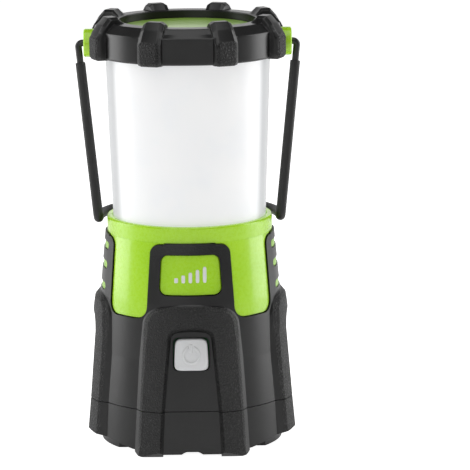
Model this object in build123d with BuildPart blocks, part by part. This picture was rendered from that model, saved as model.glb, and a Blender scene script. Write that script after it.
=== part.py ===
from build123d import *

import os
from math import atan, cos, radians, sin

# Camping lantern, millimetres. +Z up, origin on the floor under the lantern's axis,
# the power button faces -Y. Body and base below, lift-off shade and bail above.

# ---- Driving dimensions -------------------------------------------------
TOTAL_HEIGHT = 190.0
SEAM_Z = 20.4  # parting line between the base cap and the body armour
SEAM_GAP = 0.3
WAIST_Z = 42.0
SHOULDER_Z = 67.0  # top of the arches, foot of the upper frames
FRAME_TOP_Z = 93.6
FRAME_CORNER_Z = 92.9  # the frames' crowned top edge is this high at its corners
FRAME_CORNER_R = 4.6
COLLAR_TOP_Z = 100.6

BASE_R = 45.3  # round barrel between the ribs
SEAM_R = 43.9
WAIST_R = 41.6
SHOULDER_R = 39.9
FRAME_TOP_R = 37.4
COLLAR_R = 36.5
ARMOUR_WALL = 2.8
HOUSING_WALL = 2.2
GRIP_DROP = 0.5
PANE_DROP = 0.8  # green panes lie this far below the black armour
TRIM_GAP = 0.4
FIT = 0.1

RIB_FOOT_R = 47.2  # radius of the ribs' rounded face at the floor
RIB_WIDEST_Z = 5.6
RIB_WIDEST_R = 48.15
BROW_LOW_Z = 50.0
BROW_LOW_R = 43.6
BROW_R = 43.3
BROW_HIGH_Z = 64.3
BROW_HIGH_R = 42.4
RIB_ROOT_R = 38.64  # plane in which the ribs' outline is drawn, where it meets the floor
RIB_LEAN = 0.09  # that plane leans in by this much per mm of height
RIB_TAPER = 28.0
RIB_EDGE_R = 0.8
PANEL_ROOT_R = 44.3  # flat recessed panel in each rib, where its plane meets the floor
PANEL_LEAN = 0.0743
PANEL_TAPER = 40.0
PANEL_FOOT_Z = 1.5
HEM_Z = 2.6  # lower edge of the base's wall beside the front and rear ribs
HEM_SIDE_Z = 6.2  # and at the side ribs
FOOT_R = 40.2
FOOT_WIDTH = 4.6
FOOT_HALF = 24.0
SCREW_SEAT_Z = 4.0
SCREW_RING_R = 34.5

BUTTON_Z = 45.6
BUTTON_W = 15.3  # along its lower edge
BUTTON_H = 13.8
BUTTON_CORNER_R = 2.4
BUTTON_SIDE_ANGLE = 87.5
BUTTON_PROUD = 2.2
PORT_Z = 45.0

LENS_BOTTOM_Z = 96.3
LENS_TOP_Z = 173.6
LENS_R = 33.8  # outside radius at the collar's top edge
LENS_FLARE = 0.0343
LENS_WALL = 2.0

HEAD_Z = 171.8
HEAD_R = 41.0
HEAD_FLAT = 40.9
HEAD_CHAMFER_Z = 183.4
RIM_Z = 187.1
RIM_R = 36.9
TOP_DISC_R = 30.0
TOP_DISC_Z = 183.7
LUG_COUNT = 8
LUG_FACE_R = 44.9
LUG_FACE_HALF = 3.4
LUG_BEVEL = 2.1

PIVOT_Z = 176.8
BOSS_R = 6.25
BOSS_SEAT_X = HEAD_R + 0.05
BOSS_X = 45.6
PIN_DEPTH = 3.4
WIRE_R = 1.5
SLEEVE_R = 2.2
ARM_TOP_X = 48.05
HOOP_R = 40.3
HOOP_Z = 98.4
SLEEVE_TOP_Z = 168.0


def barrel_radius(z):
    """Outside radius of the round armour between the ribs at height z."""
    stations = [
        (0.0, BASE_R + 0.3),
        (SEAM_Z, SEAM_R),
        (WAIST_Z, WAIST_R),
        (SHOULDER_Z, SHOULDER_R),
        (FRAME_TOP_Z, FRAME_TOP_R),
        (TOTAL_HEIGHT, FRAME_TOP_R),
    ]
    for (z0, r0), (z1, r1) in zip(stations, stations[1:]):
        if z <= z1:
            return r0 + (r1 - r0) * (z - z0) / (z1 - z0)
    return FRAME_TOP_R


def lens_radius(z):
    """Outside radius of the frosted shade at height z."""
    return LENS_R + LENS_FLARE * (z - COLLAR_TOP_Z)


def turned(points):
    """A solid turned about Z from radius and height points."""
    with BuildPart() as solid:
        with BuildSketch(Plane.XZ):
            with BuildLine():
                Polyline(*points, close=True)
            make_face()
        revolve(axis=Axis.Z)
    return solid.part


def barrel(drop, low, high, inner=None):
    """The armour's round shape set in by drop, from low to high, solid or with a bore set in by inner."""
    heights = [low] + [z for z in (SEAM_Z, WAIST_Z, SHOULDER_Z) if low < z < high] + [high]
    outside = [(barrel_radius(z) - drop, z) for z in heights]
    if inner is None:
        inside = [(0, high), (0, low)]
    else:
        inside = [(barrel_radius(z) - inner, z) for z in reversed(heights)]
    return turned(outside + inside)


# ---- Ribs ---------------------------------------------------------------
def leaning_plane(root_r, lean):
    """Front plane that leans in by lean per mm of height, root_r from the axis at the floor."""
    angle = atan(lean)
    return Plane(origin=(0, -root_r, 0), x_dir=(1, 0, 0), z_dir=Vector(0, -cos(angle), sin(angle)))


def arch_outline(half_bottom, half_seam, half_top, shoulder, crown, corner):
    """Arch-shaped outline, its sides bent at the seam, with a shallow curved top and round corners."""
    left = [(-half_top, shoulder), (-half_seam, SEAM_Z), (-half_bottom, -2)]
    right = [(-x, z) for x, z in reversed(left)]
    with BuildSketch(mode=Mode.PRIVATE) as outline:
        with BuildLine():
            Polyline(*left, *right)
            ThreePointArc((-half_top, shoulder), (0, crown), (half_top, shoulder))
        make_face()
        fillet(outline.vertices().group_by(Axis.Y)[-1], corner)
    return outline.sketch


with BuildPart() as rib_envelope:
    with BuildSketch(Plane.XZ):
        with BuildLine():
            Polyline(
                (BROW_HIGH_R, BROW_HIGH_Z),
                (SHOULDER_R - 0.7, SHOULDER_Z + 1.1),
                (30, SHOULDER_Z + 1.1),
                (30, 0),
                (RIB_FOOT_R, 0),
                (RIB_FOOT_R + 0.7, 0.7),
                (RIB_WIDEST_R - 0.1, 1.9),
                (RIB_WIDEST_R, RIB_WIDEST_Z),
                (BROW_LOW_R, BROW_LOW_Z),
            )
            ThreePointArc((BROW_LOW_R, BROW_LOW_Z), (BROW_R, 57.5), (BROW_HIGH_R, BROW_HIGH_Z))
        make_face()
    revolve(axis=Axis.Z)

with BuildPart() as recess:
    with BuildSketch(leaning_plane(PANEL_ROOT_R, PANEL_LEAN)):
        add(arch_outline(12.8, 11.7, 8.6, 54.5, 55.5, 3.2))
    extrude(amount=8, taper=-PANEL_TAPER)

RIB_CORNER_R = 4.5
with BuildPart() as rib:
    with BuildSketch(leaning_plane(RIB_ROOT_R, RIB_LEAN)):
        add(arch_outline(25.4, 24.1, 21.3, 64.8, 70.8, 11.5))
    extrude(amount=-9)
    extrude(rib.faces().sort_by(Axis.Y)[0], amount=12, taper=RIB_TAPER)
    add(rib_envelope.part, mode=Mode.INTERSECT)
    face_edges = rib.edges().filter_by(lambda e: e.length > 8 and e.center().Y < -38 and abs(e.center().X) > 15)
    fillet(face_edges, RIB_EDGE_R)
    # rounded lower corners of the legs
    with BuildSketch(Plane.XZ) as leg_outline:
        with Locations((0, 40)):
            Rectangle(52, 80)
        fillet(leg_outline.vertices().group_by(Axis.Y)[0], RIB_CORNER_R)
    extrude(amount=60, mode=Mode.INTERSECT)
    # arched notch between the legs
    with BuildSketch(Plane.XZ.offset(20)):
        with Locations((0, PANEL_FOOT_Z / 2)):
            Rectangle(25.4, PANEL_FOOT_Z)
        with Locations((0, -5)):
            Circle(8)
    extrude(amount=30, mode=Mode.SUBTRACT)

with BuildPart() as outer_form:
    add(barrel(0, HEM_Z, FRAME_TOP_Z))
    with PolarLocations(0, 4):
        add(rib.part)
        add(recess.part, mode=Mode.SUBTRACT)
    # the wall's lower edge rises from the front and rear ribs to the sides
    with BuildSketch(Plane.XZ):
        with BuildLine():
            Polyline(
                (26, HEM_Z),
                (37, HEM_SIDE_Z - 1.0),
                (44, HEM_SIDE_Z),
                (47, HEM_SIDE_Z + 0.8),
                (60, HEM_SIDE_Z + 0.8),
                (60, -5),
                (26, -5),
                close=True,
            )
        make_face()
        mirror(about=Plane.YZ)
    extrude(amount=60, both=True, mode=Mode.SUBTRACT)


# ---- Windows of the armour and the lime panes in them --------------------
WINDOW_HALF = 11.4
WINDOW_BOTTOM = 60.0
WINDOW_CORNER_R = 5.4
WINDOW_FLARE = 5.6


def window_outline(gap):
    """U-shaped outline of a diagonal window, smaller by gap, that flares above the frames' round corners."""
    half, bottom, flare_z = WINDOW_HALF - gap, WINDOW_BOTTOM + gap, FRAME_CORNER_Z + gap
    with BuildSketch(mode=Mode.PRIVATE) as outline:
        with Locations((0, (bottom + 110) / 2)):
            Rectangle(2 * half, 110 - bottom)
        fillet(outline.vertices().group_by(Axis.Y)[0], WINDOW_CORNER_R - gap)
        with Locations((0, (flare_z + 110) / 2)):
            Rectangle(2 * (half + WINDOW_FLARE), 110 - flare_z)
        corners = outline.vertices().filter_by(
            lambda v: abs(v.Y - flare_z) < 0.01 and abs(abs(v.X) - half) < 0.01
        )
        fillet(corners, FRAME_CORNER_R + gap - 0.8)
    return outline.sketch


def diagonal_plane(angle, distance):
    """Upright plane facing outwards at angle, distance from the axis."""
    outward = Vector(cos(radians(angle)), sin(radians(angle)), 0)
    return Plane(origin=outward * distance, x_dir=Vector(-outward.Y, outward.X, 0), z_dir=outward)


def window_blocks(gap):
    """Four diagonal blocks of the window's outline."""
    with BuildPart() as blocks:
        for angle in (45, 135, 225, 315):
            with BuildSketch(diagonal_plane(angle, 20)):
                add(window_outline(gap))
            extrude(amount=30)
    return blocks.part


BADGE_LOW, BADGE_HIGH = 70.9, 88.8
BADGE_LOW_HALF, BADGE_HIGH_HALF = 13.8, 12.7
BADGE_CORNER_R = 3.3


def badge_block(gap):
    """The badge's tapered block through the front frame, smaller by gap all round."""
    low, high = BADGE_LOW + gap, BADGE_HIGH - gap
    low_half, high_half = BADGE_LOW_HALF - gap, BADGE_HIGH_HALF - gap
    with BuildPart() as block:
        with BuildSketch(Plane.XZ.offset(20)):
            with BuildLine():
                Polyline((-low_half, low), (low_half, low), (high_half, high), (-high_half, high), close=True)
            make_face()
        extrude(amount=30)
        fillet(block.edges().filter_by(Axis.Y), BADGE_CORNER_R - gap)
    return block.part


GRIP_SLOTS = (70.2, 79.7, 88.2)
GRIP_LENGTH = 25.0
GRIP_WIDTH = 3.6


def grip_bars(gap):
    """Three level bars through both side grips, smaller by gap."""
    with BuildPart() as bars:
        for height in GRIP_SLOTS:
            with BuildSketch(Plane.YZ):
                with Locations((0, height)):
                    SlotOverall(GRIP_LENGTH - gap, GRIP_WIDTH - gap)
            extrude(amount=50, both=True)
    return bars.part


with BuildPart() as frame_crown:
    with BuildSketch(Plane.XZ):
        with BuildLine():
            ThreePointArc((-19, FRAME_CORNER_Z), (0, FRAME_TOP_Z), (19, FRAME_CORNER_Z))
            Polyline((19, FRAME_CORNER_Z), (19, 100), (-19, 100), (-19, FRAME_CORNER_Z))
        make_face()
    extrude(amount=50)

# ---- Body ---------------------------------------------------------------
with BuildPart() as body_armour:
    add(outer_form.part)
    with BuildSketch(Plane.XY):
        Rectangle(120, 120)
    extrude(amount=SEAM_Z + SEAM_GAP / 2, mode=Mode.SUBTRACT)
    with PolarLocations(0, 4):
        add(frame_crown.part, mode=Mode.SUBTRACT)
    add(barrel(ARMOUR_WALL, SEAM_Z - 1, FRAME_TOP_Z + 1), mode=Mode.SUBTRACT)
    add(window_blocks(0), mode=Mode.SUBTRACT)
    with PolarLocations(0, 2):
        add(badge_block(0), mode=Mode.SUBTRACT)
    add(grip_bars(0), mode=Mode.SUBTRACT)
    # opening for the button at the front, and for the charging port at the rear
    with BuildSketch(Plane.XZ.offset(30)):
        with Locations((0, BUTTON_Z)):
            RectangleRounded(BUTTON_W + 0.7, BUTTON_H + 0.9, BUTTON_CORNER_R)
    extrude(amount=20, mode=Mode.SUBTRACT)
    with BuildSketch(Plane.XZ.offset(-30)):
        with Locations((0, PORT_Z)):
            RectangleRounded(12, 8, 1.5)
    extrude(amount=-20, mode=Mode.SUBTRACT)
body_armour.part.label = "body_armour"

HOUSING_DROP = ARMOUR_WALL + FIT
LEDGE_Z = 92.2
DECK_TOP_Z = 94.2
with BuildPart() as main_housing:
    add(barrel(HOUSING_DROP, SEAM_Z + 0.2, FRAME_TOP_Z + 0.1))
    add(barrel(PANE_DROP, WINDOW_BOTTOM - 5, FRAME_TOP_Z + 0.1).intersect(window_blocks(TRIM_GAP)))
    with BuildSketch(Plane.XY.offset(FRAME_TOP_Z + 0.1)):
        Circle(COLLAR_R)
    extrude(amount=COLLAR_TOP_Z - FRAME_TOP_Z - 0.1)
    fillet(main_housing.edges().group_by(Axis.Z)[-1], 0.9)
    add(barrel(HOUSING_DROP + HOUSING_WALL, SEAM_Z - 1, LEDGE_Z - 3), mode=Mode.SUBTRACT)
    with BuildSketch(Plane.XY.offset(LEDGE_Z - 3)):
        Circle(30.5)
    extrude(amount=20, mode=Mode.SUBTRACT)
    with BuildSketch(Plane.XY.offset(LEDGE_Z)):
        Circle(32.2)
    extrude(amount=20, mode=Mode.SUBTRACT)
    with BuildSketch(Plane.XY.offset(DECK_TOP_Z + 0.1)):
        Circle(34.2)
    extrude(amount=20, mode=Mode.SUBTRACT)
    # screw posts for the base cap
    with BuildSketch(Plane.XY.offset(SEAM_Z + 0.2)):
        with PolarLocations(SCREW_RING_R, 4, start_angle=45):
            Circle(3.4)
    extrude(amount=14)
    with BuildSketch(Plane.XY.offset(SEAM_Z - 1)):
        with PolarLocations(SCREW_RING_R, 4, start_angle=45):
            Circle(1.45)
    extrude(amount=14, mode=Mode.SUBTRACT)
    with BuildSketch(Plane.XZ.offset(30)):
        with Locations((0, BUTTON_Z)):
            RectangleRounded(BUTTON_W + 1.0, BUTTON_H + 1.2, BUTTON_CORNER_R)
    extrude(amount=20, mode=Mode.SUBTRACT)
    with BuildSketch(Plane.XZ.offset(-30)):
        with Locations((0, PORT_Z)):
            RectangleRounded(10, 5, 1)
    extrude(amount=-20, mode=Mode.SUBTRACT)
main_housing.part.label = "main_housing"

with BuildPart() as badge_plates:
    add(barrel(PANE_DROP + 0.2, BADGE_LOW - 3, BADGE_HIGH + 3, ARMOUR_WALL))
    add(badge_block(TRIM_GAP) + badge_block(TRIM_GAP).rotate(Axis.Z, 180), mode=Mode.INTERSECT)
badge_plates.part.label = "badge_plates"

with BuildPart() as grip_inlays:
    add(barrel(GRIP_DROP, SHOULDER_Z, FRAME_TOP_Z, ARMOUR_WALL))
    add(grip_bars(TRIM_GAP), mode=Mode.INTERSECT)
grip_inlays.part.label = "grip_inlays"

# ---- Base ---------------------------------------------------------------
FLOOR_TOP_Z = 7.0
with BuildPart() as base_cap:
    add(outer_form.part)
    with BuildSketch(Plane.XY.offset(SEAM_Z - SEAM_GAP / 2)):
        Rectangle(120, 120)
    extrude(amount=120, mode=Mode.SUBTRACT)
    with BuildSketch(Plane.XY.offset(FLOOR_TOP_Z)):
        Circle(38.2)
    extrude(amount=20, mode=Mode.SUBTRACT)
    with BuildSketch(Plane.XY.offset(SEAM_Z - SEAM_GAP / 2 - 1.1)):
        Circle(41.0)
        Circle(39.2, mode=Mode.SUBTRACT)
    extrude(amount=3, mode=Mode.SUBTRACT)
    # arc-shaped feet under the side ribs
    with BuildSketch(Plane.XY):
        Circle(FOOT_R)
        Circle(FOOT_R - FOOT_WIDTH, mode=Mode.SUBTRACT)
        Rectangle(120, 2 * FOOT_HALF, mode=Mode.INTERSECT)
    extrude(amount=FLOOR_TOP_Z - 1)
    # screw bosses with countersunk seats
    with BuildSketch(Plane.XY.offset(SCREW_SEAT_Z)):
        with PolarLocations(SCREW_RING_R, 4, start_angle=45):
            Circle(3.6)
    extrude(amount=FLOOR_TOP_Z - SCREW_SEAT_Z + 1)
    with Locations(Plane.XY.offset(SCREW_SEAT_Z)):
        with PolarLocations(SCREW_RING_R, 4, start_angle=45):
            Hole(1.8)
    with BuildSketch(Plane.XY):
        with PolarLocations(SCREW_RING_R, 4, start_angle=45):
            Circle(3.1)
    extrude(amount=SCREW_SEAT_Z + 1.2, mode=Mode.SUBTRACT)
base_cap.part.label = "base_cap"

with BuildPart() as base_seal:
    with BuildSketch(Plane.XY.offset(SEAM_Z - SEAM_GAP / 2 - 1.0)):
        Circle(40.8)
        Circle(39.4, mode=Mode.SUBTRACT)
    extrude(amount=1.2)
base_seal.part.label = "base_seal"

with BuildPart() as base_screws:
    with BuildSketch(Plane.XY.offset(SCREW_SEAT_Z - 0.6)):
        with PolarLocations(SCREW_RING_R, 4, start_angle=45):
            Circle(2.8)
            RegularPolygon(1.2, 6, mode=Mode.SUBTRACT)
    extrude(amount=1.8)
    with BuildSketch(Plane.XY.offset(SCREW_SEAT_Z + 0.5)):
        with PolarLocations(SCREW_RING_R, 4, start_angle=45):
            Circle(1.4)
    extrude(amount=26)
base_screws.part.label = "base_screws"

# ---- Inside the body ----------------------------------------------------
CELL_R = 9.2
CELL_X = 9.6
CELL_Y = 3.0
CRADLE_LOW = FLOOR_TOP_Z + 0.2
with BuildPart() as battery_cradle:
    with BuildSketch(Plane.XY.offset(CRADLE_LOW)):
        with Locations((0, CELL_Y)):
            RectangleRounded(42, 22.4, 8)
    extrude(amount=68)
    with BuildSketch(Plane.XY.offset(CRADLE_LOW + 2)):
        with Locations((-CELL_X, CELL_Y), (CELL_X, CELL_Y)):
            Circle(CELL_R + 0.2)
    extrude(amount=70, mode=Mode.SUBTRACT)
battery_cradle.part.label = "battery_cradle"

with BuildPart() as battery_cells:
    for side in (-1, 1):
        with BuildSketch(Plane.XY.offset(CRADLE_LOW + 2.5)):
            with Locations((side * CELL_X, CELL_Y)):
                Circle(CELL_R)
        extrude(amount=64)
        with BuildSketch(Plane.XY.offset(CRADLE_LOW + 66.4)):
            with Locations((side * CELL_X, CELL_Y)):
                Circle(3)
        extrude(amount=1.0)
battery_cells.part.label = "battery_cells"

with BuildPart() as battery_contacts:
    for side in (-1, 1):
        with BuildSketch(Plane.XY.offset(CRADLE_LOW + 67.5)):
            with Locations((side * CELL_X, CELL_Y)):
                Rectangle(14, 9)
        extrude(amount=0.5)
    with BuildSketch(Plane.XY.offset(CRADLE_LOW + 2.05)):
        with Locations((-CELL_X, CELL_Y), (CELL_X, CELL_Y)):
            Circle(6)
    extrude(amount=0.4)
battery_contacts.part.label = "battery_contacts"

BOARD_Y = -34.2
with BuildPart() as control_board:
    with BuildSketch(Plane.XZ.offset(-BOARD_Y - 1.6)):
        with Locations((0, 40.5)):
            Rectangle(17, 23)
    extrude(amount=1.6)
control_board.part.label = "control_board"

with BuildPart() as tact_switch:
    with BuildSketch(Plane.XZ.offset(-BOARD_Y + 0.02)):
        with Locations((0, BUTTON_Z)):
            Rectangle(6, 6)
    extrude(amount=2.2)
    with BuildSketch(Plane.XZ.offset(-BOARD_Y + 2.2)):
        with Locations((0, BUTTON_Z)):
            Circle(1.6)
    extrude(amount=0.9)
tact_switch.part.label = "tact_switch"

PORT_Y = 36.6
with BuildPart() as charging_port:
    with BuildSketch(Plane.XZ.offset(-PORT_Y)):
        with Locations((0, PORT_Z)):
            RectangleRounded(7.8, 3.0, 0.6)
            RectangleRounded(7.0, 2.2, 0.4, mode=Mode.SUBTRACT)
    extrude(amount=5.6)
    with BuildSketch(Plane.XZ.offset(-PORT_Y + 5.0)):
        with Locations((0, PORT_Z)):
            RectangleRounded(7.8, 3.0, 0.6)
    extrude(amount=1.0)
    with BuildSketch(Plane.XZ.offset(-PORT_Y + 1.0)):
        with Locations((0, PORT_Z + 0.2)):
            Rectangle(4.2, 0.7)
    extrude(amount=4.4)
charging_port.part.label = "charging_port"

with BuildPart() as port_board:
    with BuildSketch(Plane.XY.offset(PORT_Z - 3.2)):
        with Locations((0, PORT_Y - 8.0)):
            Rectangle(16, 12)
    extrude(amount=1.6)
port_board.part.label = "port_board"

# ---- LED deck -----------------------------------------------------------
with BuildPart() as led_deck:
    with BuildSketch(Plane.XY.offset(LEDGE_Z)):
        Circle(32.1)
        Circle(2.5, mode=Mode.SUBTRACT)
    extrude(amount=DECK_TOP_Z - LEDGE_Z)
led_deck.part.label = "led_deck"

with BuildPart() as heat_sink:
    with BuildSketch(Plane.XY.offset(LEDGE_Z - 2.2)):
        Circle(26)
    extrude(amount=2.1)
    with BuildSketch(Plane.XY.offset(LEDGE_Z - 9)):
        with GridLocations(6, 1, 7, 1):
            Rectangle(1.6, 28)
    extrude(amount=7)
heat_sink.part.label = "heat_sink"

with BuildPart() as led_board:
    with BuildSketch(Plane.XY.offset(DECK_TOP_Z + 0.02)):
        Circle(22)
    extrude(amount=1.6)
led_board.part.label = "led_board"

with BuildPart() as led_chips:
    with BuildSketch(Plane.XY.offset(DECK_TOP_Z + 1.64)):
        with PolarLocations(9, 6):
            Rectangle(3.5, 3.5)
        with PolarLocations(17, 12):
            Rectangle(3.5, 3.5)
    extrude(amount=0.8)
led_chips.part.label = "led_chips"

DOME_R = 26.0
DOME_LOW = DECK_TOP_Z + 0.05
DOME_RISE = 13.0
DOME_WALL = 1.3
with BuildPart() as led_cover:
    with Locations((0, 0, DOME_LOW)):
        Cylinder(DOME_R, DOME_RISE, align=(Align.CENTER, Align.CENTER, Align.MIN))
    fillet(led_cover.edges().group_by(Axis.Z)[-1], 8)
    offset(amount=-DOME_WALL, openings=led_cover.faces().sort_by(Axis.Z)[0])
led_cover.part.label = "led_cover"

with BuildPart() as deck_screws:
    with BuildSketch(Plane.XY.offset(DECK_TOP_Z + 0.02)):
        with PolarLocations(29, 3, start_angle=90):
            Circle(2.2)
    extrude(amount=1.0)
deck_screws.part.label = "deck_screws"

# ---- Power button -------------------------------------------------------
BUTTON_BACK_Y = -39.0
with BuildPart() as power_button:
    with BuildSketch(Plane.XZ.offset(-BUTTON_BACK_Y)):
        with Locations((0, BUTTON_Z)):
            Trapezoid(BUTTON_W, BUTTON_H, BUTTON_SIDE_ANGLE)
    extrude(amount=10)
    fillet(power_button.edges().filter_by(Axis.Y), BUTTON_CORNER_R)
    split(bisect_by=leaning_plane(PANEL_ROOT_R + BUTTON_PROUD, PANEL_LEAN), keep=Keep.BOTTOM)
    fillet(power_button.faces().sort_by(Axis.Y)[0].edges(), 0.7)
power_button.part.label = "power_button"

with BuildPart() as button_boot:
    with BuildSketch(Plane.XZ.offset(-BOARD_Y + 0.05)):
        with Locations((0, BUTTON_Z)):
            Circle(6.0)
            Circle(4.7, mode=Mode.SUBTRACT)
    extrude(amount=-BUTTON_BACK_Y + BOARD_Y - 0.1)
button_boot.part.label = "button_boot"

# ---- Port cover ---------------------------------------------------------
FLAP_HINGE_Z = 52.4
FLAP_GAP = 0.35
FLAP_PIN_Y = PANEL_ROOT_R - PANEL_LEAN * FLAP_HINGE_Z + 1.4
FLAP_TILT = atan(PANEL_LEAN)
flap_plane = Plane(
    origin=(0, PANEL_ROOT_R - PANEL_LEAN * PORT_Z + FLAP_GAP, PORT_Z),
    x_dir=(1, 0, 0),
    z_dir=Vector(0, -cos(FLAP_TILT), -sin(FLAP_TILT)),
)
with BuildPart() as port_cover:
    with BuildSketch(flap_plane):
        with Locations((0, -0.9)):
            RectangleRounded(15.0, 12.8, 2.2)
    extrude(amount=-1.8)
    with BuildSketch(flap_plane):
        with Locations((0, 6.0)):
            Rectangle(8.8, 3.0)
    extrude(amount=-1.5)
    with BuildSketch(Plane.YZ):
        with Locations((FLAP_PIN_Y, FLAP_HINGE_Z)):
            Circle(1.1)
    extrude(amount=4.5, both=True)
    with BuildSketch(Plane.YZ):
        with Locations((FLAP_PIN_Y, FLAP_HINGE_Z)):
            Circle(0.65)
    extrude(amount=20, both=True, mode=Mode.SUBTRACT)
port_cover.part.label = "port_cover"

with BuildPart() as port_cover_pin:
    with BuildSketch(Plane.YZ):
        with Locations((FLAP_PIN_Y, FLAP_HINGE_Z)):
            Circle(0.6)
    extrude(amount=6.6, both=True)
port_cover_pin.part.label = "port_cover_pin"

with BuildPart() as port_cover_clips:
    with BuildSketch(Plane.YZ.offset(4.7)):
        with Locations((FLAP_PIN_Y, FLAP_HINGE_Z)):
            Circle(1.1)
            Circle(0.6, mode=Mode.SUBTRACT)
    extrude(amount=1.9)
    mirror(about=Plane.YZ)
port_cover_clips.part.label = "port_cover_clips"

# ---- Shade --------------------------------------------------------------
with BuildPart() as shade_seal:
    with BuildSketch(Plane.XY.offset(DECK_TOP_Z + 0.2)):
        Circle(34.0)
        Circle(32.4, mode=Mode.SUBTRACT)
    extrude(amount=LENS_BOTTOM_Z - DECK_TOP_Z - 0.4)
shade_seal.part.label = "shade_seal"

with BuildPart() as diffuser_lens:
    add(
        turned(
            [
                (lens_radius(LENS_BOTTOM_Z), LENS_BOTTOM_Z),
                (lens_radius(LENS_TOP_Z), LENS_TOP_Z),
                (lens_radius(LENS_TOP_Z) - LENS_WALL, LENS_TOP_Z),
                (lens_radius(LENS_BOTTOM_Z) - LENS_WALL, LENS_BOTTOM_Z),
            ]
        )
    )
diffuser_lens.part.label = "diffuser_lens"

LENS_POCKET_R = lens_radius(LENS_TOP_Z) + 0.15
with BuildPart() as lug:
    with BuildSketch(Plane.YZ.offset(-LUG_FACE_HALF)):
        with BuildLine():
            Polyline(
                (-38.5, HEAD_Z + 0.2),
                (-40.6, HEAD_Z - 0.4),
                (-43.9, HEAD_Z - 0.4),
                (-LUG_FACE_R, HEAD_Z + 1.1),
                (-LUG_FACE_R, 180.7),
                (-41.2, 186.8),
                (-38.3, TOTAL_HEIGHT),
                (-34.2, TOTAL_HEIGHT),
                (-31.4, 186.9),
                (-31.4, 184),
                (-38.5, 178),
                close=True,
            )
        make_face()
    extrude(amount=2 * LUG_FACE_HALF)
    extrude(lug.faces().sort_by(Axis.X)[-1], amount=LUG_BEVEL, taper=35)
    extrude(lug.faces().sort_by(Axis.X)[0], amount=LUG_BEVEL, taper=35)

with BuildPart() as head_ring:
    add(
        turned(
            [
                (LENS_POCKET_R, HEAD_Z),
                (HEAD_R, HEAD_Z),
                (HEAD_R, HEAD_CHAMFER_Z),
                (RIM_R, RIM_Z),
                (TOP_DISC_R, RIM_Z),
                (TOP_DISC_R, 180.0),
                (34.4, 180.0),
                (34.4, LENS_TOP_Z + 0.2),
                (LENS_POCKET_R, LENS_TOP_Z + 0.2),
            ]
        )
    )
    with BuildSketch(Plane.XY.offset(HEAD_Z)):
        Rectangle(2 * HEAD_FLAT, 22.6)
        Rectangle(22.6, 2 * HEAD_FLAT)
        Circle(38.0, mode=Mode.SUBTRACT)
    extrude(amount=HEAD_CHAMFER_Z - HEAD_Z)
    with PolarLocations(0, LUG_COUNT, start_angle=22.5):
        add(lug.part)
    # sockets for the two pivot bosses
    with BuildSketch(Plane.YZ.offset(39)):
        with Locations((0, PIVOT_Z)):
            Circle(4.1)
    extrude(amount=10, mode=Mode.SUBTRACT)
    with BuildSketch(Plane.YZ.offset(-49)):
        with Locations((0, PIVOT_Z)):
            Circle(4.1)
    extrude(amount=10, mode=Mode.SUBTRACT)
head_ring.part.label = "head_ring"

with BuildPart() as top_disc:
    add(
        turned(
            [
                (0, 181.7),
                (27.5, 181.7),
                (27.5, 178.2),
                (33.0, 178.2),
                (33.0, 179.9),
                (TOP_DISC_R - 0.1, 179.9),
                (TOP_DISC_R - 0.1, TOP_DISC_Z - 0.5),
                (TOP_DISC_R - 0.6, TOP_DISC_Z),
                (0, TOP_DISC_Z),
            ]
        )
    )
top_disc.part.label = "top_disc"

with BuildPart() as reflector_cone:
    add(
        turned(
            [
                (0, 159.6),
                (32.0, 178.1),
                (33.9, 178.1),
                (33.9, 176.9),
                (2.5, 158.0),
                (0, 158.0),
            ]
        )
    )
reflector_cone.part.label = "reflector_cone"

with BuildPart() as head_gasket:
    with BuildSketch(Plane.XY.offset(LENS_TOP_Z + 0.02)):
        Circle(LENS_POCKET_R - 0.1)
        Circle(34.5, mode=Mode.SUBTRACT)
    extrude(amount=0.16)
head_gasket.part.label = "head_gasket"

with BuildPart() as pivot_bosses:
    with BuildSketch(Plane.YZ.offset(BOSS_SEAT_X)):
        with Locations((0, PIVOT_Z)):
            Circle(BOSS_R)
    extrude(amount=BOSS_X - BOSS_SEAT_X)
    fillet(pivot_bosses.edges().group_by(Axis.X)[-1], 0.9)
    with BuildSketch(Plane.YZ.offset(39.1)):
        with Locations((0, PIVOT_Z)):
            Circle(4.0)
    extrude(amount=2.5)
    with BuildSketch(Plane.YZ.offset(BOSS_X - PIN_DEPTH - 0.2)):
        with Locations((0, PIVOT_Z)):
            Circle(WIRE_R + 0.05)
    extrude(amount=10, mode=Mode.SUBTRACT)
    mirror(about=Plane.YZ)
pivot_bosses.part.label = "pivot_bosses"

# ---- Bail ---------------------------------------------------------------
ARM_RUN = Vector(HOOP_R - ARM_TOP_X, 0, HOOP_Z - PIVOT_Z)
sleeve_start = Vector(ARM_TOP_X, 0, PIVOT_Z) + ARM_RUN * ((PIVOT_Z - SLEEVE_TOP_Z) / (PIVOT_Z - HOOP_Z))
CORNER_R = 2.9


def half_bail(start_points, radii, tube_r):
    """One side of the bail: a round bar down the arm, round the corner and a quarter of the hoop."""
    corner_end = (HOOP_R, CORNER_R + 0.1, HOOP_Z)
    with BuildPart() as bar:
        with BuildLine() as route:
            FilletPolyline(*start_points, (HOOP_R, 0, HOOP_Z), corner_end, radius=radii)
            CenterArc((0, CORNER_R + 0.1, HOOP_Z), HOOP_R, 0, 90)
        with BuildSketch(Plane(origin=route.line @ 0, z_dir=route.line % 0)):
            Circle(tube_r)
        sweep()
    return bar.part


pin_end = (BOSS_X - PIN_DEPTH, 0, PIVOT_Z)
wire_points = [pin_end, (ARM_TOP_X, 0, PIVOT_Z)]
WIRE_BEND_R = 1.7
with BuildPart() as bail_wire:
    add(half_bail(wire_points, [WIRE_BEND_R, CORNER_R], WIRE_R))
    mirror(about=Plane.YZ)
bail_wire.part.label = "bail_wire"

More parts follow.
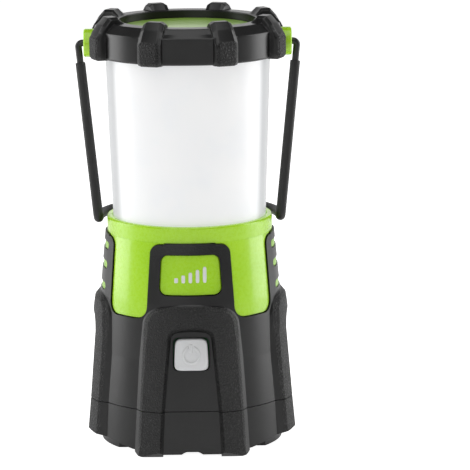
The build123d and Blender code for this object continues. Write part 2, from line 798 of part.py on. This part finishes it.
with BuildPart() as bail_sleeve:
    add(half_bail([tuple(sleeve_start)], CORNER_R, SLEEVE_R))
    add(half_bail([tuple(sleeve_start)], CORNER_R, WIRE_R + 0.05), mode=Mode.SUBTRACT)
    mirror(about=Plane.YZ)
bail_sleeve.part.label = "bail_sleeve"

# ---- Export -------------------------------------------------------------
os.makedirs("parts", exist_ok=True)
pieces = (
    body_armour,
    main_housing,
    badge_plates,
    grip_inlays,
    base_cap,
    base_seal,
    base_screws,
    battery_cradle,
    battery_cells,
    battery_contacts,
    control_board,
    tact_switch,
    charging_port,
    port_board,
    led_deck,
    heat_sink,
    led_board,
    led_chips,
    led_cover,
    deck_screws,
    power_button,
    button_boot,
    port_cover,
    port_cover_pin,
    port_cover_clips,
    shade_seal,
    diffuser_lens,
    head_ring,
    top_disc,
    reflector_cone,
    head_gasket,
    pivot_bosses,
    bail_wire,
    bail_sleeve,
)
for piece in pieces:
    export_step(piece.part, "parts/" + piece.part.label + ".step")
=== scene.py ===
import math

import bpy
import numpy as np
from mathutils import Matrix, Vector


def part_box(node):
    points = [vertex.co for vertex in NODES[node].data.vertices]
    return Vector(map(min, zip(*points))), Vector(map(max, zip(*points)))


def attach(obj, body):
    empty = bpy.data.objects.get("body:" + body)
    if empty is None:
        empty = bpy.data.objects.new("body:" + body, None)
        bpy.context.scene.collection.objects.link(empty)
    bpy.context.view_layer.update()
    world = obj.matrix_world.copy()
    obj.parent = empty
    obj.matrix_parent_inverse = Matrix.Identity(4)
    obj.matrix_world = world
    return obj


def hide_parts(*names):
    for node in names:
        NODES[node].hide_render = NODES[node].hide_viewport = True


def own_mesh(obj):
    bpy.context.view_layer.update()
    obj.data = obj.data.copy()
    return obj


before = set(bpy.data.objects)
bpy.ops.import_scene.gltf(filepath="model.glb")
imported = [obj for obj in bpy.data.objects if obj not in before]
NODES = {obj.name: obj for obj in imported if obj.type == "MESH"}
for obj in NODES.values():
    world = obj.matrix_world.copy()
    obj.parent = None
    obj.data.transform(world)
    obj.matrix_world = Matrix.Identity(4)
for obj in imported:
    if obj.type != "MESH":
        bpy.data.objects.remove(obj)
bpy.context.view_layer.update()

MM = 0.001

# ---- Shader expressions ---------------------------------------------------


class Field:
    """A socket of one material. Arithmetic on it adds Math nodes."""

    def __init__(self, tree, socket):
        self.tree, self.socket = tree, socket

    def node(self, kind, values=None, output=0, **settings):
        """Any other node: its settings first, then the values or links of its sockets."""
        made = self.tree.nodes.new(kind)
        for name, value in settings.items():
            setattr(made, name, value)
        for key, value in (values or {}).items():
            if isinstance(value, Field):
                self.tree.links.new(value.socket, made.inputs[key])
            else:
                made.inputs[key].default_value = value
        return Field(self.tree, made.outputs[output])

    def math(self, operation, *values):
        """One Math node on these values, in order."""
        return self.node("ShaderNodeMath", dict(enumerate(values)), operation=operation)

    def __add__(self, other):
        return self.math("ADD", self, other)

    def __sub__(self, other):
        return self.math("SUBTRACT", self, other)

    def __rsub__(self, other):
        return self.math("SUBTRACT", other, self)

    def __mul__(self, other):
        return self.math("MULTIPLY", self, other)

    def largest(self, other):
        return self.math("MAXIMUM", self, other)

    def step(self, low, high):
        """0 below low, 1 above high, smooth between."""
        return self.node(
            "ShaderNodeMapRange",
            {"Value": self, "From Min": low, "From Max": high},
            interpolation_type="SMOOTHSTEP",
        )

    def mix(self, first, second):
        """The colour first where this is 0, second where it is 1."""
        return self.node(
            "ShaderNodeMix", {"Factor": self, 6: first, 7: second}, output=2, data_type="RGBA"
        )

    def scaled(self, factors):
        """This vector field times a vector."""
        return self.node("ShaderNodeVectorMath", {0: self, 1: factors}, operation="MULTIPLY")

    def shifted(self, other):
        """This vector field plus another."""
        return self.node("ShaderNodeVectorMath", {0: self, 1: other}, operation="ADD")

    def length(self):
        """Length of this vector field."""
        return self.node("ShaderNodeVectorMath", {0: self}, output=1, operation="LENGTH")

    def noise(self, scale, detail=3.0, roughness=0.55):
        """Noise from 0 to 1 at this many lumps per metre, on this vector field."""
        values = {"Vector": self, "Scale": scale, "Detail": detail, "Roughness": roughness}
        return self.node("ShaderNodeTexNoise", values)

    def noise_vector(self, scale):
        """Three noises at once, as a vector."""
        return self.node("ShaderNodeTexNoise", {"Vector": self, "Scale": scale}, output=1)

    def cells(self, scale):
        """Distance to the edge of each cell, for leather grain."""
        values = {"Vector": self, "Scale": scale}
        return self.node("ShaderNodeTexVoronoi", values, feature="DISTANCE_TO_EDGE")

    def axes(self):
        """The X, Y and Z of this vector field."""
        split = self.node("ShaderNodeSeparateXYZ", {0: self})
        outputs = split.socket.node.outputs
        return [Field(self.tree, outputs[i]) for i in range(3)]


def colour(r, g, b):
    """A linear colour as Blender wants it."""
    return (r, g, b, 1.0)


def grey(level, warm=0.0):
    """A linear grey, a little warmer or cooler."""
    return colour(level * (1 + warm), level, level * (1 - warm))


class Finish:
    """One material: its place field and the shader's sockets."""

    def __init__(self, name, **constants):
        self.material = bpy.data.materials.new(name)
        self.material.use_nodes = True
        tree = self.material.node_tree
        self.shader = tree.nodes["Principled BSDF"]
        coordinates = tree.nodes.new("ShaderNodeTexCoord")
        self.place = Field(tree, coordinates.outputs["Object"])
        for socket, value in constants.items():
            self.shader.inputs[socket.replace("_", " ")].default_value = value

    def feed(self, socket, field):
        self.place.tree.links.new(field.socket, self.shader.inputs[socket])

    def bump(self, *layers):
        """Layers of (height field, depth in metres), one Bump node after another."""
        normal = None
        for height, depth in layers:
            values = {"Height": height, "Distance": depth, "Strength": 1.0}
            if normal is not None:
                values["Normal"] = normal
            normal = self.place.node("ShaderNodeBump", values)
        self.feed("Normal", normal)


# ---- Materials ------------------------------------------------------------

FACE_ROOT_R = 49.04 * MM  # cone that the ribs' rounded faces follow, where it meets the floor
FACE_LEAN = 0.1104
LUG_FACE_R = 44.9 * MM
BROW_FOOT_Z, BROW_TOP_Z, BROW_LEAST_R = 0.0515, 0.0655, 0.0412  # the ribs' steeper top stretch


def pebbles(place, size, valley):
    """Leather pebbles: rounded cells about size across, with soft valleys, on a wandering grid."""
    wander = place.noise_vector(0.45 / size).scaled((0.9 * size,) * 3)
    return place.shifted(wander).cells(1 / size).step(0.0, valley)


def soft_black(name, grain_mask, size, depth, dark, light, gloss):
    """Soft-touch black moulding. grain_mask(place) gives where the leather grain of this size lies."""
    finish = Finish(name, Specular_IOR_Level=0.55)
    place = finish.place
    cloud = place.noise(60.0, 4.0)
    speck = place.noise(4200.0, 2.0)
    grain = pebbles(place, size, 0.34) * 0.75 + pebbles(place, size * 0.45, 0.4) * 0.25
    mask = grain_mask(place)
    valley = (1 - grain) * mask
    tone = (cloud.step(0.3, 0.7) * 0.5 + speck * 0.3 - valley * 0.45 + mask * 0.1).step(-0.3, 0.9)
    finish.feed("Base Color", tone.mix(dark, light))
    finish.feed("Roughness", cloud * 0.08 + speck * 0.05 + valley * 0.2 + mask * 0.06 + gloss)
    finish.bump((speck, 0.000008), (grain * mask, depth))
    return finish.material


def rib_faces(place):
    """1 on the raised faces of the ribs, 0 in their recesses and on the barrel."""
    z = place.axes()[2]
    reach = place.scaled((1, 1, 0)).length()
    face = reach + z * FACE_LEAN
    on_brow = z.step(BROW_FOOT_Z, BROW_FOOT_Z + 0.0025) * (1 - z.step(BROW_TOP_Z, BROW_TOP_Z + 0.0013))
    brow = reach.step(BROW_LEAST_R, BROW_LEAST_R + 0.0008) * on_brow
    return face.step(FACE_ROOT_R - 0.0016, FACE_ROOT_R - 0.0008).largest(brow)


def lug_faces(place):
    """1 on the outer faces of the head's lugs."""
    return place.scaled((1, 1, 0)).length().step(LUG_FACE_R - 0.0010, LUG_FACE_R - 0.0004)


def lime_gloss(name, low, high, roughness):
    """Glossy lime moulding with a faint orange peel and dust in the gloss."""
    finish = Finish(name, Coat_Roughness=0.10, Specular_IOR_Level=0.5)
    place = finish.place
    flow = place.noise(35.0, 3.0)
    peel = place.noise(700.0, 2.0)
    dust = place.noise(5200.0, 2.0)
    finish.feed("Base Color", (flow * 0.8 + dust * 0.2).step(0.3, 0.75).mix(low, high))
    finish.feed("Roughness", peel * 0.06 + dust * 0.05 + roughness)
    finish.feed("Coat Weight", flow.step(0.2, 0.8) * 0.2 + 0.25)
    finish.bump((peel, 0.000008), (dust, 0.000003))
    return finish.material


def frosted_lens():
    """Frosted white shade: fine moulded frost, a painted glow that brightens it, and painted shade that
    greys it towards its outline.
    """
    finish = Finish("frosted_lens", Specular_IOR_Level=0.5, Coat_Roughness=0.2)
    place = finish.place
    frost = place.noise(3800.0, 3.0)
    cloud = place.noise(45.0, 3.0)
    # painted shade: greys the base colour and the glow where the surface turns away from the view,
    # towards the outline
    edge = place.node("ShaderNodeLayerWeight", {"Blend": 0.5}, output=1).step(0.50, 0.64)
    middle = cloud.step(0.3, 0.7).mix(grey(0.54, -0.01), grey(0.57))
    finish.feed("Base Color", edge.mix(middle, grey(0.40, -0.01)))
    finish.feed("Roughness", frost * 0.12 + cloud * 0.05 + 0.25)
    # painted glow: emission that brightens the shade as if it were lit
    painted_glow = cloud.step(0.2, 0.8).mix(colour(0.96, 0.975, 1.0), colour(1.0, 1.0, 1.0))
    finish.feed("Emission Color", edge.mix(painted_glow, grey(0.70, -0.02)))
    finish.shader.inputs["Emission Strength"].default_value = LENS_PAINTED_GLOW
    finish.feed("Coat Weight", frost * 0.1 + 0.1)
    finish.bump((frost, 0.000012), (cloud, 0.00008))
    return finish.material


def plain_plastic(name, low, high, roughness, relief=0.00002, **constants):
    """Moulded plastic or rubber: cloudy tone, fine speckle in the gloss and in the relief."""
    finish = Finish(name, **constants)
    place = finish.place
    cloud = place.noise(80.0, 4.0)
    speck = place.noise(3600.0, 3.0)
    finish.feed("Base Color", (cloud * 0.7 + speck * 0.3).step(0.3, 0.7).mix(low, high))
    finish.feed("Roughness", cloud * 0.10 + speck * 0.08 + roughness)
    finish.bump((speck, relief), (cloud, relief * 2))
    return finish.material


def brushed_metal(name, low, high, roughness):
    """Metal with drawn streaks along Z and tarnish clouds."""
    finish = Finish(name, Metallic=1.0)
    place = finish.place
    streak = place.scaled((1, 1, 0.06)).noise(2500.0, 3.0)
    cloud = place.noise(120.0, 4.0)
    finish.feed("Base Color", (streak * 0.5 + cloud * 0.5).step(0.3, 0.7).mix(low, high))
    finish.feed("Roughness", streak * 0.15 + cloud * 0.1 + roughness)
    finish.bump((streak, 0.00001))
    return finish.material


# strength of the glow painted into the shade to brighten it
LENS_PAINTED_GLOW = 0.44
LIME_LOW, LIME_HIGH = colour(0.40, 0.76, 0.012), colour(0.48, 0.84, 0.025)
armour_black = soft_black("armour_black", rib_faces, 0.0012, 0.00026, grey(0.003), grey(0.010), 0.27)
head_black = soft_black("head_black", lug_faces, 0.0013, 0.00050, grey(0.003), grey(0.009), 0.26)
lime = lime_gloss("lime_gloss", LIME_LOW, LIME_HIGH, 0.22)
disc_lime = lime_gloss("disc_lime", colour(0.26, 0.46, 0.06), colour(0.33, 0.54, 0.09), 0.34)
grip_lime = lime_gloss("grip_lime", colour(0.28, 0.58, 0.01), colour(0.34, 0.66, 0.02), 0.38)
button_grey = plain_plastic("button_grey", grey(0.70, -0.01), grey(0.78, -0.01), 0.22, 0.00001)
seal_rubber = plain_plastic("seal_rubber", grey(0.012), grey(0.028), 0.55)
flap_rubber = plain_plastic("flap_rubber", grey(0.014), grey(0.030), 0.45)
sleeve_rubber = plain_plastic("sleeve_rubber", grey(0.007), grey(0.016), 0.42, 0.00004)
wire_coat = plain_plastic("wire_coat", grey(0.010), grey(0.022), 0.25, 0.00001)
screw_steel = brushed_metal("screw_steel", grey(0.40), grey(0.60), 0.25)
sink_aluminium = brushed_metal("sink_aluminium", grey(0.60), grey(0.80), 0.35)
board_green = plain_plastic("board_green", colour(0.01, 0.12, 0.04), colour(0.02, 0.18, 0.06), 0.3)
inside_black = plain_plastic("inside_black", grey(0.02), grey(0.04), 0.45)
cell_wrap = plain_plastic("cell_wrap", colour(0.03, 0.14, 0.42), colour(0.05, 0.2, 0.52), 0.25)
deck_white = plain_plastic("deck_white", grey(0.78), grey(0.88), 0.3)
led_phosphor = plain_plastic("led_phosphor", colour(0.85, 0.6, 0.12), colour(0.95, 0.72, 0.2), 0.3)
boot_silicone = plain_plastic("boot_silicone", grey(0.28), grey(0.36), 0.45)
mark_white = plain_plastic("mark_white", grey(0.80), grey(0.88), 0.35, 0.000004)
dome_frost = plain_plastic("dome_frost", grey(0.80, -0.02), grey(0.90, -0.02), 0.15)

# ---- Dress the nodes --------------------------------------------------------

FINISHES = (
    (armour_black, ("body_armour", "base_cap")),
    (head_black, ("head_ring",)),
    (lime, ("main_housing", "badge_plates", "pivot_bosses")),
    (grip_lime, ("grip_inlays",)),
    (disc_lime, ("top_disc",)),
    (frosted_lens(), ("diffuser_lens",)),
    (button_grey, ("power_button",)),
    (seal_rubber, ("base_seal", "shade_seal", "head_gasket")),
    (boot_silicone, ("button_boot",)),
    (flap_rubber, ("port_cover", "port_cover_clips")),
    (sleeve_rubber, ("bail_sleeve",)),
    (wire_coat, ("bail_wire",)),
    (screw_steel, ("base_screws", "deck_screws", "port_cover_pin", "battery_contacts", "charging_port")),
    (sink_aluminium, ("heat_sink",)),
    (board_green, ("control_board", "port_board")),
    (inside_black, ("battery_cradle", "tact_switch")),
    (cell_wrap, ("battery_cells",)),
    (deck_white, ("led_deck", "led_board", "reflector_cone")),
    (led_phosphor, ("led_chips",)),
    (dome_frost, ("led_cover",)),
)
for material, names in FINISHES:
    for name in names:
        NODES[name].data.materials.clear()
        NODES[name].data.materials.append(material)

# ---- Surfaces worked out on a grid ------------------------------------------


def surface(name, grid, material, body, replaced=(), closed_rows=False, capped=True):
    """A mesh from a grid of points in mm, shaped (rows, columns, 3). Columns go round and close.

    Rows close too where closed_rows is set; otherwise capped closes the first and last row
    with a fan to its middle. Faces are turned outwards by the sign of the enclosed volume.
    """
    rows, columns = grid.shape[:2]
    index = np.arange(rows * columns).reshape(rows, columns)
    lower = index if closed_rows else index[:-1]
    upper = np.roll(index, -1, axis=0) if closed_rows else index[1:]
    quads = np.stack([lower, np.roll(lower, -1, 1), np.roll(upper, -1, 1), upper], axis=-1).reshape(-1, 4)
    points = grid.reshape(-1, 3)
    corners = quads.ravel()
    sizes = np.full(len(quads), 4)
    if capped and not closed_rows:
        middles = np.array([grid[0].mean(axis=0), grid[-1].mean(axis=0)])
        first = np.stack([np.roll(index[0], -1), index[0], np.full(columns, len(points))], axis=-1)
        last = np.stack([index[-1], np.roll(index[-1], -1), np.full(columns, len(points) + 1)], axis=-1)
        points = np.concatenate([points, middles])
        corners = np.concatenate([corners, first.ravel(), last.ravel()])
        sizes = np.concatenate([sizes, np.full(2 * columns, 3)])
    p0, p1, p2, p3 = (points[quads[:, k]] for k in range(4))
    volume = np.einsum("ij,ij->i", p0, np.cross(p1, p2) + np.cross(p2, p3)).sum()
    starts = np.concatenate([[0], np.cumsum(sizes)[:-1]])
    if volume < 0:
        ends = np.repeat(starts + sizes - 1, sizes)
        corners = corners[ends - (np.arange(len(corners)) - np.repeat(starts, sizes))]
    mesh = bpy.data.meshes.new(name)
    mesh.vertices.add(len(points))
    mesh.vertices.foreach_set("co", (points * MM).ravel())
    mesh.loops.add(len(corners))
    mesh.loops.foreach_set("vertex_index", corners.astype(np.int32))
    mesh.polygons.add(len(sizes))
    mesh.polygons.foreach_set("loop_start", starts.astype(np.int32))
    mesh.polygons.foreach_set("loop_total", sizes.astype(np.int32))
    mesh.update(calc_edges=True)
    mesh.shade_smooth()
    mesh.materials.append(material)
    piece = bpy.data.objects.new(name, mesh)
    bpy.context.scene.collection.objects.link(piece)
    weighted = piece.modifiers.new("weighted", "WEIGHTED_NORMAL")
    weighted.weight = 100
    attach(piece, body)
    if replaced:
        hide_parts(*replaced)
    return piece


def smooth(value, low, high):
    """0 below low, 1 above high, an S curve between."""
    t = np.clip((value - low) / (high - low), 0, 1)
    return t * t * (3 - 2 * t)


def rounded_profile(stations, radius, closed, steps=4):
    """A polyline's corners rounded: near each one, a short curve pulled towards it by a Bezier weight."""
    stations = np.asarray(stations, float)
    before, after = np.roll(stations, 1, 0), np.roll(stations, -1, 0)
    reach_in = np.minimum(radius / np.linalg.norm(before - stations, axis=1), 0.45)[:, None, None]
    reach_out = np.minimum(radius / np.linalg.norm(after - stations, axis=1), 0.45)[:, None, None]
    t = np.linspace(0, 1, steps)[None, :, None]
    here = stations[:, None]
    start = here + (before[:, None] - here) * reach_in
    end = here + (after[:, None] - here) * reach_out
    curve = (1 - t) ** 2 * start + 2 * t * (1 - t) * here + t**2 * end
    if not closed:
        curve[0], curve[-1] = stations[0], stations[-1]
    return curve.reshape(-1, 2)


# ---- Head ring ---------------------------------------------------------------

# matched stations of the ring's section: radius and height between the lugs, then over a lug
HEAD_STATIONS = (
    ((36.5, 171.8), (36.5, 171.8)),
    ((38.6, 171.8), (38.6, 171.8)),
    ((40.5, 171.8), (40.6, 171.4)),
    ((41.0, 172.4), (43.9, 171.4)),
    ((41.0, 174.0), (44.9, 172.9)),
    ((41.0, 181.0), (44.9, 180.7)),
    ((41.0, 183.4), (43.0, 183.8)),
    ((39.0, 185.2), (41.2, 186.8)),
    ((36.9, 187.1), (38.3, 190.0)),
    ((34.2, 187.1), (34.2, 190.0)),
    ((31.4, 187.1), (31.4, 186.9)),
    ((30.05, 187.1), (30.05, 187.1)),
    ((30.05, 180.0), (30.05, 180.0)),
    ((34.4, 180.0), (34.4, 180.0)),
    ((34.4, 173.8), (34.4, 173.8)),
    ((36.5, 173.8), (36.5, 173.8)),
)
LUG_COUNT = 8
LUG_HALF, LUG_FOOT = 3.4, 5.5  # half width of a lug's face, and of its foot
LUG_REACH = 42.4  # widths across a lug are measured at this radius
LUG_SHOULDER = 0.62  # part of the lug's height left at its foot
HEAD_FLAT, HEAD_FLAT_HALF = 40.9, 11.3  # four flat panels between the lugs: distance and half width


def head_ring():
    """Section carried round the axis: it swells to the lug's section across each lug.

    Across a lug the blend is 1 on the face, falls straight to LUG_SHOULDER at the foot, then drops.
    Over the flat panels the radius is the panel's distance over the cosine of the turn.
    """
    pitch = 2 * math.pi / LUG_COUNT
    across = np.concatenate([
        np.linspace(-LUG_FOOT - 0.25, -LUG_FOOT + 0.15, 5),
        np.linspace(-LUG_FOOT + 0.6, -LUG_HALF - 0.35, 4),
        np.linspace(-LUG_HALF - 0.2, -LUG_HALF + 0.2, 5),
        np.linspace(-LUG_HALF + 0.8, LUG_HALF - 0.8, 9),
        np.linspace(LUG_HALF - 0.2, LUG_HALF + 0.2, 5),
        np.linspace(LUG_HALF + 0.35, LUG_FOOT - 0.6, 4),
        np.linspace(LUG_FOOT - 0.15, LUG_FOOT + 0.25, 5),
    ])
    lug_turn = across / LUG_REACH
    gap_turn = np.linspace(lug_turn[-1], pitch + lug_turn[0], 16)[1:-1]
    one = np.concatenate([lug_turn, gap_turn])
    turn = (one[None, :] + pitch * (np.arange(LUG_COUNT)[:, None] + 0.5)).ravel()
    width = np.abs(np.tile(np.concatenate([across, np.full(len(gap_turn), 99.0)]), LUG_COUNT))
    slope = 1 - (1 - LUG_SHOULDER) * np.clip((width - LUG_HALF) / (LUG_FOOT - LUG_HALF), 0, 1)
    blend = slope * (1 - smooth(width, LUG_FOOT - 0.1, LUG_FOOT + 0.2))
    between = rounded_profile([pair[0] for pair in HEAD_STATIONS], 0.45, True)
    over = rounded_profile([pair[1] for pair in HEAD_STATIONS], 0.45, True)
    section = between[:, None] + (over - between)[:, None] * blend[None, :, None]
    side_turn = (turn + pitch) % (2 * pitch) - pitch
    on_flat = 1 - smooth(np.abs(np.sin(side_turn)) * 42.0, HEAD_FLAT_HALF, HEAD_FLAT_HALF + 0.5)
    flat = HEAD_FLAT / np.cos(side_turn) / 41.0 - 1
    outer = smooth(between[:, 0], 39.5, 41.0)[:, None]
    radius = section[..., 0] * (1 + flat * on_flat * outer * (1 - blend))
    return np.stack([radius * np.cos(turn), radius * np.sin(turn), section[..., 1]], axis=-1)


surface(
    "head_ring_moulded", head_ring(), head_black, "shade", ["head_ring"], closed_rows=True
)

# ---- Power button --------------------------------------------------------------

BUTTON_LOW, BUTTON_HIGH = (np.array(corner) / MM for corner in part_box("power_button"))
BUTTON_MIDDLE_Z = (BUTTON_LOW[2] + BUTTON_HIGH[2]) / 2
PANEL_LEAN = 0.0743
FACE_Y = -46.5  # the button's leaning face, where its plane meets the floor
SYMBOL_R, SYMBOL_HALF, SYMBOL_RISE = 3.6, 0.50, 0.40  # ring's radius, half its stroke, its height
FACE_ROWS, FACE_BULGE = 70, 0.30
RIM_TURN = 0.75  # how far back the rounded rim goes
SKIRT_Y = -40.6  # the sides' last row before the flat back


def button_cap():
    """Squircle outline times a radius fraction, from the middle of the face out, back and in again.

    The face bulges with the square of the radius, carries a raised ring open at the top with a bar
    in the gap, and turns into the sides over a quarter circle.
    """
    turn = np.linspace(0, 2 * math.pi, 240, endpoint=False)
    half_x, half_z = (BUTTON_HIGH[0] - BUTTON_LOW[0]) / 2, (BUTTON_HIGH[2] - BUTTON_LOW[2]) / 2
    rim = (np.abs(np.cos(turn) / half_x) ** 6 + np.abs(np.sin(turn) / half_z) ** 6) ** (-1 / 6)
    edge = np.linspace(0, math.pi / 2, 9)[1:]
    face_part = np.concatenate([np.linspace(0.02, 0.9, FACE_ROWS), 0.9 + 0.1 * np.sin(edge)])
    depth = RIM_TURN * (1 - np.cos(edge))
    part = np.concatenate([face_part, [1.0, 1.0, 0.02]])
    x = part[:, None] * (rim * np.cos(turn))[None]
    z = part[:, None] * (rim * np.sin(turn))[None]
    reach = np.hypot(x, z)
    gap = smooth(np.abs(x), 1.15, 1.45) + (z < 0)
    ring = smooth(SYMBOL_HALF - np.abs(reach - SYMBOL_R), -0.12, 0.12) * np.clip(gap, 0, 1)
    bar_end = smooth(SYMBOL_HALF - np.abs(x), -0.12, 0.12)
    bar = bar_end * smooth(z, 1.0, 1.25) * (1 - smooth(z, 4.5, 4.75))
    rise = FACE_BULGE * (1 - part[:, None] ** 2) + SYMBOL_RISE * np.maximum(ring, bar)
    front = FACE_Y + PANEL_LEAN * (BUTTON_MIDDLE_Z + z) + 0.32
    y = front - rise
    rim_end = FACE_ROWS + len(edge)
    y[FACE_ROWS:rim_end] += depth[:, None]
    y[rim_end:] = np.array([[SKIRT_Y], [BUTTON_HIGH[1]], [BUTTON_HIGH[1]]])
    narrowing = 1 - 0.0437 * (z + half_z) / half_x
    return np.stack([x * narrowing, y, BUTTON_MIDDLE_Z + z], axis=-1)


surface("power_button_moulded", button_cap(), button_grey, "power_button", ["power_button"])

BOOT_LOW, BOOT_HIGH = (np.array(corner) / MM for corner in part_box("button_boot"))
BELLOWS = 3


def button_boot():
    """A sleeve turned about Y: its outside waves in and out with the cosine of the way along it."""
    along = np.linspace(0, 1, 49)
    outer = (BOOT_HIGH[0] - BOOT_LOW[0]) / 2 - 0.25 + 0.25 * np.cos(2 * math.pi * BELLOWS * along)
    inner = outer - 1.3
    section = np.concatenate([np.stack([outer, along], 1), np.stack([inner, along], 1)[::-1]])
    turn = np.linspace(0, 2 * math.pi, 96, endpoint=False)
    radius = section[:, :1]
    y = BOOT_LOW[1] + (BOOT_HIGH[1] - BOOT_LOW[1]) * np.repeat(section[:, 1:], len(turn), axis=1)
    middle_z = (BOOT_LOW[2] + BOOT_HIGH[2]) / 2
    return np.stack([radius * np.cos(turn), y, middle_z + radius * np.sin(turn)], axis=-1)


boot = surface(
    "button_boot_moulded",
    button_boot(),
    boot_silicone,
    "main_body",
    ["button_boot"],
    closed_rows=True,
)
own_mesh(boot)

# ---- Marks on the front badge ----------------------------------------------------

MARK_HEIGHTS = (2.2, 3.4, 4.6, 5.8, 7.0)
MARK_PITCH = 3.1
BADGE_MARK_Z = 76.5  # the marks' common foot
BADGE_R, BADGE_SLOPE = 38.01, 0.094  # the plate's radius there, and how fast it narrows upwards


def mark(centre_x, height):
    """A bar printed on the barrel: a squircle outline raised a hair, wrapped on the round plate."""
    turn = np.linspace(0, 2 * math.pi, 48, endpoint=False)
    half_x, half_z = 0.8, height / 2
    rim = (np.abs(np.cos(turn) / half_x) ** 5 + np.abs(np.sin(turn) / half_z) ** 5) ** (-1 / 5)
    part = np.array([0.3, 0.8, 1.0, 1.0])
    lift = np.array([0.05, 0.05, 0.0, -0.3])[:, None]
    x = centre_x + part[:, None] * (rim * np.cos(turn))[None]
    z = BADGE_MARK_Z + half_z + part[:, None] * (rim * np.sin(turn))[None]
    radius = BADGE_R - BADGE_SLOPE * (z - BADGE_MARK_Z) + lift
    return np.stack([x, -np.sqrt(radius**2 - x**2), z], axis=-1)


for number, height in enumerate(MARK_HEIGHTS):
    centre = (number - 2) * MARK_PITCH
    surface("level_mark_" + str(number + 1), mark(centre, height), mark_white, "main_body")

# ---- Stage, lights and camera -------------------------------------------------


def area_light(name, place, target, width, height, power):
    """A rectangular softbox at place, turned to target."""
    data = bpy.data.lights.new(name, "AREA")
    data.shape, data.size, data.size_y, data.energy = "RECTANGLE", width, height, power
    lamp = bpy.data.objects.new(name, data)
    bpy.context.scene.collection.objects.link(lamp)
    lamp.location = place
    aim = Vector(target) - Vector(place)
    lamp.rotation_euler = aim.to_track_quat("-Z", "Y").to_euler()
    return lamp


def around(azimuth, distance, height):
    """A point at this azimuth from the camera's side (degrees, positive to the right)."""
    turn = math.radians(azimuth)
    return (distance * math.sin(turn), -distance * math.cos(turn), height)


MIDDLE = (0, 0, 0.095)
area_light("strip_left", around(-103, 0.62, 0.16), MIDDLE, 0.36, 0.95, 3.3)
area_light("strip_right", around(103, 0.62, 0.16), MIDDLE, 0.36, 0.95, 3.3)
area_light("top_soft", (0, -0.25, 0.95), MIDDLE, 0.8, 0.8, 3.0)
area_light("front_fill", around(-20, 1.6, 0.9), MIDDLE, 1.2, 1.2, 6.5)
area_light("backdrop", around(180, 1.2, 0.45), MIDDLE, 1.6, 0.7, 3.5).visible_camera = False

WORLD_LIGHT = 0.06
world = bpy.data.worlds.new("studio")
bpy.context.scene.world = world
world.use_nodes = True
sky_tree = world.node_tree
seen = Field(sky_tree, sky_tree.nodes.new("ShaderNodeLightPath").outputs["Is Camera Ray"])
sky_tree.nodes["Background"].inputs["Color"].default_value = colour(1, 1, 1)
sky_strength = seen * (1 - WORLD_LIGHT) + WORLD_LIGHT
sky_tree.links.new(sky_strength.socket, sky_tree.nodes["Background"].inputs["Strength"])

floor_mesh = bpy.data.meshes.new("floor")
FLOOR_HALF = 6.0
FLOOR_GLOW = 0.96
FLOOR_BOUNCE = 0.35  # share of the glow that other surfaces mirror
floor_mesh.from_pydata(
    [(FLOOR_HALF * i, FLOOR_HALF * j, 0) for i, j in ((-1, -1), (1, -1), (1, 1), (-1, 1))],
    [],
    [(0, 1, 2, 3)],
)
floor = bpy.data.objects.new("floor", floor_mesh)
bpy.context.scene.collection.objects.link(floor)
floor_white = plain_plastic("floor_white", grey(0.93), grey(0.96), 0.6)
floor_shader = floor_white.node_tree.nodes["Principled BSDF"]
floor_shader.inputs["Emission Strength"].default_value = FLOOR_GLOW
floor_tree = floor_white.node_tree
floor_seen = Field(floor_tree, floor_tree.nodes.new("ShaderNodeLightPath").outputs["Is Camera Ray"])
floor_glow = floor_seen.mix(grey(FLOOR_BOUNCE), colour(1, 1, 1))
floor_tree.links.new(floor_glow.socket, floor_shader.inputs["Emission Color"])
floor_mesh.materials.append(floor_white)

CAMERA_DISTANCE = 1.43458
CAMERA_HEIGHT = 0.36908
CAMERA_PITCH = 11.0
CAMERA_YAW = -0.80
CAMERA_ROLL = -0.52
CAMERA_LENS = 252.25
camera_data = bpy.data.cameras.new("camera")
camera_data.lens, camera_data.sensor_width = CAMERA_LENS, 36.0
camera = bpy.data.objects.new("camera", camera_data)
bpy.context.scene.collection.objects.link(camera)
camera.location = (0, -CAMERA_DISTANCE, CAMERA_HEIGHT)
turned = Matrix.Rotation(math.radians(CAMERA_YAW), 4, "Z")
turned @= Matrix.Rotation(math.radians(90 - CAMERA_PITCH), 4, "X")
turned @= Matrix.Rotation(math.radians(CAMERA_ROLL), 4, "Z")
camera.rotation_euler = turned.to_euler()
bpy.context.scene.camera = camera
bpy.context.scene.view_settings.view_transform = "Standard"
